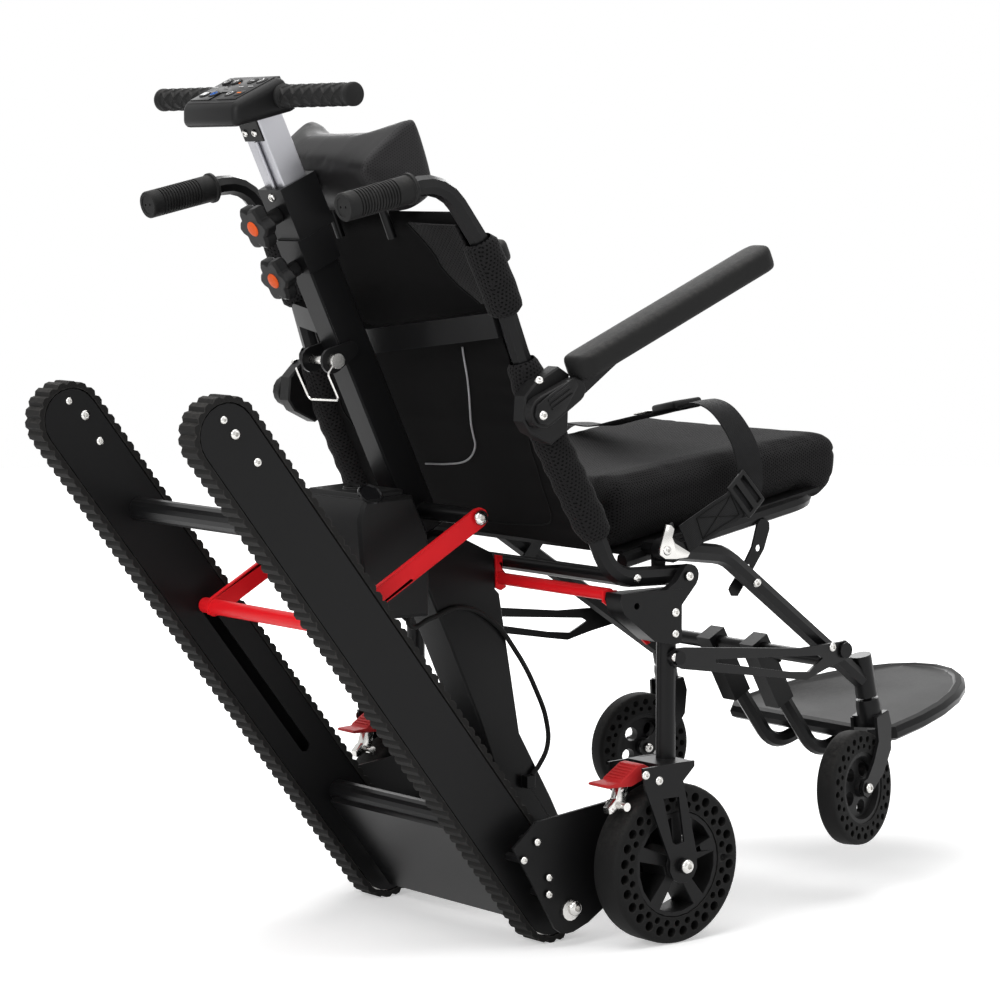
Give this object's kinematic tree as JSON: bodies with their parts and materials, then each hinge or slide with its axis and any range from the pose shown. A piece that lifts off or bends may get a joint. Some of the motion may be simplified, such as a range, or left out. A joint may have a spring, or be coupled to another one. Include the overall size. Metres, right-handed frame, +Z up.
{
  "type": "tracked stair chair",
  "caption": "Folding wheelchair with a powered crawler unit, tipped back on its rear wheels and track ends, with raised control column.",
  "frame": {"origin": "on the floor, under the middle of the bounding box", "axes": "+X towards the occupant's left, -Y forward, +Z up"},
  "size_m": [0.6166, 1.3754, 1.0663],
  "materials": {
    "frame_coat": "black powder coat, semi-matt",
    "red_coat": "red powder coat, semi-gloss",
    "tyre_rubber": "matt black rubber",
    "belt_rubber": "matt black rubber",
    "grip_rubber": "matt black rubber",
    "case_plastic": "fine-grained black",
    "red_plastic": "satin red",
    "upholstery": "black mesh and webbing",
    "cushion_cover": "black woven fabric",
    "headrest_cover": "black leatherette",
    "bright_steel": "bright steel",
    "handle_metal": "polished aluminium"
  },
  "bodies": {
    "chassis": {"rear_axle": "frame_coat", "right_post": "frame_coat", "left_post": "frame_coat", "red_cross_frame": "red_coat", "lower_column": "frame_coat", "column_tube": "frame_coat", "battery_box": "case_plastic", "control_cable": "grip_rubber"},
    "track_unit": {"right_track_frame": "frame_coat", "left_track_frame": "frame_coat", "right_mounting_plate": "frame_coat", "left_mounting_plate": "frame_coat", "right_track_belt": "belt_rubber", "left_track_belt": "belt_rubber", "upper_track_tube": "frame_coat", "lower_track_tube": "frame_coat", "drive_unit": "frame_coat"},
    "drive_shaft": {"drive_axle": "frame_coat"},
    "right_idler": {"right_idler_pulley": "case_plastic"},
    "left_idler": {"left_idler_pulley": "case_plastic"},
    "folding_arm": {"red_folding_arm": "red_coat"},
    "back": {"back_frame": "frame_coat", "back_panel": "upholstery", "right_bolster": "upholstery", "left_bolster": "upholstery", "right_push_grip": "grip_rubber", "left_push_grip": "grip_rubber", "right_arm_bracket": "case_plastic", "left_arm_bracket": "case_plastic", "headrest": "headrest_cover"},
    "legs": {"right_front_leg": "frame_coat", "left_front_leg": "frame_coat", "front_cross_tube": "frame_coat", "seat_frame": "frame_coat", "seat_cushion": "cushion_cover", "lap_belt": "upholstery"},
    "right_link": {"right_brace_link": "frame_coat"},
    "left_link": {"left_brace_link": "frame_coat"},
    "right_wheel": {"right_rear_tyre": "tyre_rubber", "right_rear_rim": "case_plastic"},
    "left_wheel": {"left_rear_tyre": "tyre_rubber", "left_rear_rim": "case_plastic"},
    "right_caster": {"right_caster_fork": "frame_coat"},
    "left_caster": {"left_caster_fork": "frame_coat"},
    "right_caster_roller": {"right_caster_wheel": "tyre_rubber"},
    "left_caster_roller": {"left_caster_wheel": "tyre_rubber"},
    "footrest": {"footrest_frame": "frame_coat"},
    "right_arm": {"right_armrest": "case_plastic"},
    "left_arm": {"left_armrest": "case_plastic"},
    "handle": {"handle_tube": "handle_metal", "control_box": "case_plastic", "handle_bar": "grip_rubber"},
    "switch": {"travel_switch": "case_plastic"},
    "upper_knob": {"upper_clamp_knob": "case_plastic"},
    "lower_knob": {"lower_clamp_knob": "case_plastic"},
    "quick_pin": {"lock_pin": "bright_steel"},
    "right_brake": {"right_brake_pedal": "red_plastic"},
    "left_brake": {"left_brake_pedal": "red_plastic"}
  },
  "joints": [
    {"name": "track_fold", "type": "hinge", "parent": "chassis", "child": "track_unit", "pos_m": [0, 0.04956, 0.1], "axis": [1, 0, 0], "range_deg": [0, 17]},
    {"name": "folding_arm_swing", "type": "hinge", "parent": "chassis", "child": "folding_arm", "pos_m": [0, 0.23956, 0.53], "axis": [1, 0, 0], "range_deg": [-54.7, 0]},
    {"name": "drive_turn", "type": "hinge", "parent": "track_unit", "child": "drive_shaft", "pos_m": [0, 0.16856, 0.047], "axis": [1, 0, 0], "continuous": true},
    {"name": "right_idler_turn", "type": "hinge", "parent": "track_unit", "child": "right_idler", "pos_m": [-0.174, 0.64077, 0.6514], "axis": [1, 0, 0], "continuous": true},
    {"name": "left_idler_turn", "type": "hinge", "parent": "track_unit", "child": "left_idler", "pos_m": [0.174, 0.64077, 0.6514], "axis": [1, 0, 0], "continuous": true},
    {"name": "back_fold", "type": "hinge", "parent": "chassis", "child": "back", "pos_m": [0, 0.01956, 0.456], "axis": [1, 0, 0], "range_deg": [0, 75], "deforming": ["seat_cushion", "lap_belt"]},
    {"name": "leg_fold", "type": "hinge", "parent": "back", "child": "legs", "pos_m": [0, 0.03256, 0.486], "axis": [1, 0, 0], "range_deg": [-58, 0]},
    {"name": "right_link_fold", "type": "hinge", "parent": "chassis", "child": "right_link", "pos_m": [-0.2812, 0.04356, 0.356], "axis": [1, 0, 0], "range_deg": [0, 18]},
    {"name": "left_link_fold", "type": "hinge", "parent": "chassis", "child": "left_link", "pos_m": [0.2812, 0.04356, 0.356], "axis": [1, 0, 0], "range_deg": [0, 18]},
    {"name": "right_wheel_spin", "type": "hinge", "parent": "chassis", "child": "right_wheel", "pos_m": [-0.268, 0.04956, 0.1], "axis": [1, 0, 0], "continuous": true},
    {"name": "left_wheel_spin", "type": "hinge", "parent": "chassis", "child": "left_wheel", "pos_m": [0.268, 0.04956, 0.1], "axis": [1, 0, 0], "continuous": true},
    {"name": "footrest_flip", "type": "hinge", "parent": "legs", "child": "footrest", "pos_m": [0, -0.30044, 0.3135], "axis": [1, 0, 0], "range_deg": [-80, 0]},
    {"name": "handle_slide", "type": "slide", "parent": "chassis", "child": "handle", "axis": [0, 0.4274, 0.9041], "range_m": [0, 0.035]},
    {"name": "travel_rocker", "type": "hinge", "parent": "handle", "child": "switch", "pos_m": [0, 0.52552, 1.04048], "axis": [1, 0, 0], "range_deg": [-8, 8], "stiffness_Nm_per_rad": 0.02},
    {"name": "upper_knob_turn", "type": "hinge", "parent": "chassis", "child": "upper_knob", "pos_m": [0, 0.47256, 0.88633], "axis": [0, 0.9041, -0.4274], "continuous": true},
    {"name": "lower_knob_turn", "type": "hinge", "parent": "chassis", "child": "lower_knob", "pos_m": [0, 0.44286, 0.8235], "axis": [0, 0.9041, -0.4274], "continuous": true},
    {"name": "pin_pull", "type": "slide", "parent": "chassis", "child": "quick_pin", "axis": [-1, 0, 0], "range_m": [0, 0.05]},
    {"name": "right_caster_swivel", "type": "hinge", "parent": "legs", "child": "right_caster", "pos_m": [-0.20688, -0.34244, 0.292], "axis": [0, 0.2164, 0.9763], "range_deg": [-100, 165]},
    {"name": "right_caster_spin", "type": "hinge", "parent": "right_caster", "child": "right_caster_roller", "pos_m": [-0.22466, -0.3108, 0.14824], "axis": [0.9613, 0.2691, -0.0597], "continuous": true},
    {"name": "right_arm_raise", "type": "hinge", "parent": "back", "child": "right_arm", "pos_m": [-0.268, 0.24806, 0.667], "axis": [1, 0, 0], "range_deg": [-75, 0]},
    {"name": "right_brake_press", "type": "hinge", "parent": "chassis", "child": "right_brake", "pos_m": [-0.268, 0.10456, 0.212], "axis": [1, 0, 0], "range_deg": [-5, 0]},
    {"name": "left_caster_swivel", "type": "hinge", "parent": "legs", "child": "left_caster", "pos_m": [0.20688, -0.34244, 0.292], "axis": [0, 0.2164, 0.9763], "range_deg": [-165, 100]},
    {"name": "left_caster_spin", "type": "hinge", "parent": "left_caster", "child": "left_caster_roller", "pos_m": [0.2125, -0.3086, 0.14776], "axis": [0.9962, -0.0851, 0.0189], "continuous": true},
    {"name": "left_arm_raise", "type": "hinge", "parent": "back", "child": "left_arm", "pos_m": [0.268, 0.24806, 0.667], "axis": [1, 0, 0], "range_deg": [-75, 0]},
    {"name": "left_brake_press", "type": "hinge", "parent": "chassis", "child": "left_brake", "pos_m": [0.268, 0.10456, 0.212], "axis": [1, 0, 0], "range_deg": [-5, 0]}
  ],
  "couplings": [
    {"joint": "folding_arm_swing", "follows": "track_fold", "ratio": -3.217},
    {"joint": "right_idler_turn", "follows": "drive_turn", "ratio": 1},
    {"joint": "left_idler_turn", "follows": "drive_turn", "ratio": 1},
    {"joint": "leg_fold", "follows": "back_fold", "ratio": -0.7655},
    {"joint": "right_link_fold", "follows": "back_fold", "ratio": 0.2267},
    {"joint": "left_link_fold", "follows": "back_fold", "ratio": 0.2267}
  ]
}
